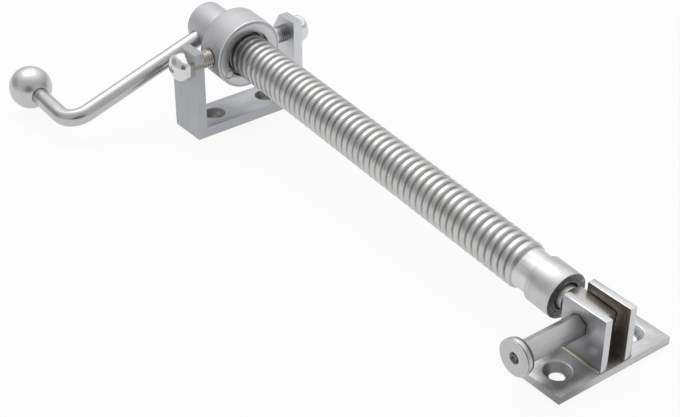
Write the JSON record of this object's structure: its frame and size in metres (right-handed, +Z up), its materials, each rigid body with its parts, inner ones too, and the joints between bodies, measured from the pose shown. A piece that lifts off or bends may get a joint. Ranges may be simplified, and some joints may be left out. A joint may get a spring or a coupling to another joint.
{
  "type": "telescopic screw window opener",
  "caption": "Crank-driven window opener: a coarse threaded tube winds through a pivoting nut in a U bracket and swivels on a pinned sash bracket.",
  "frame": {"origin": "middle of the wall bracket's foot, on the face that meets the window frame", "axes": "+X runs along the tube towards the sash bracket, +Y to the right seen from the crank, +Z up away from both feet"},
  "size_m": [0.3916, 0.1563, 0.0656],
  "materials": {
    "wall_bracket": "satin",
    "pivot_screws": "machined",
    "cap_nuts": "polished",
    "trunnion_housing": "satin",
    "drive_nut": "machined",
    "nut_key": "machined",
    "jack_screw": "machined",
    "crank_hub": "satin",
    "hub_lock_pin": "satin",
    "crank_arm": "satin",
    "crank_ball": "satin",
    "end_sleeve": "satin",
    "swivel_bolt": "machined",
    "thrust_washers": "machined",
    "tongue": "satin",
    "sash_plate": "satin",
    "near_ear": "satin",
    "far_ear": "satin",
    "ear_welds": "as welded",
    "hinge_pin": "satin",
    "pin_washer": "machined",
    "pin_flange": "turned"
  },
  "bodies": {
    "wall_bracket": {"wall_bracket": "wall_bracket", "pivot_screws": "pivot_screws", "cap_nuts": "cap_nuts"},
    "nut_housing": {"trunnion_housing": "trunnion_housing", "drive_nut": "drive_nut", "nut_key": "nut_key"},
    "sash_end": {"swivel_bolt": "swivel_bolt", "thrust_washers": "thrust_washers", "tongue": "tongue"},
    "screw": {"jack_screw": "jack_screw", "crank_hub": "crank_hub", "hub_lock_pin": "hub_lock_pin", "crank_arm": "crank_arm", "crank_ball": "crank_ball", "end_sleeve": "end_sleeve"},
    "sash_bracket": {"sash_plate": "sash_plate", "near_ear": "near_ear", "far_ear": "far_ear", "ear_welds": "ear_welds"},
    "hinge_pin": {"hinge_pin": "hinge_pin", "pin_washer": "pin_washer", "pin_flange": "pin_flange"}
  },
  "joints": [
    {"name": "trunnion_tilt", "type": "hinge", "parent": "wall_bracket", "child": "nut_housing", "pos_m": [0.002, 0, 0.044], "axis": [0, 1, 0], "range_deg": [-25, 45]},
    {"name": "screw_travel", "type": "slide", "parent": "nut_housing", "child": "sash_end", "axis": [0.9972, 0, -0.0751], "range_m": [-0.21151, 0]},
    {"name": "crank_turn", "type": "hinge", "parent": "sash_end", "child": "screw", "pos_m": [0.002, 0, 0.044], "axis": [0.9972, 0, -0.0751], "range_deg": [-16200, 0]},
    {"name": "sash_tilt", "type": "hinge", "parent": "sash_end", "child": "sash_bracket", "pos_m": [0.28729, 0, 0.0225], "axis": [0, 1, 0], "range_deg": [-110, 20]},
    {"name": "pin_release", "type": "slide", "parent": "sash_bracket", "child": "hinge_pin", "axis": [0, -1, 0], "range_m": [0, 0.024]}
  ],
  "couplings": [
    {"joint": "screw_travel", "follows": "crank_turn", "m_per_rad": 0.00074803}
  ]
}
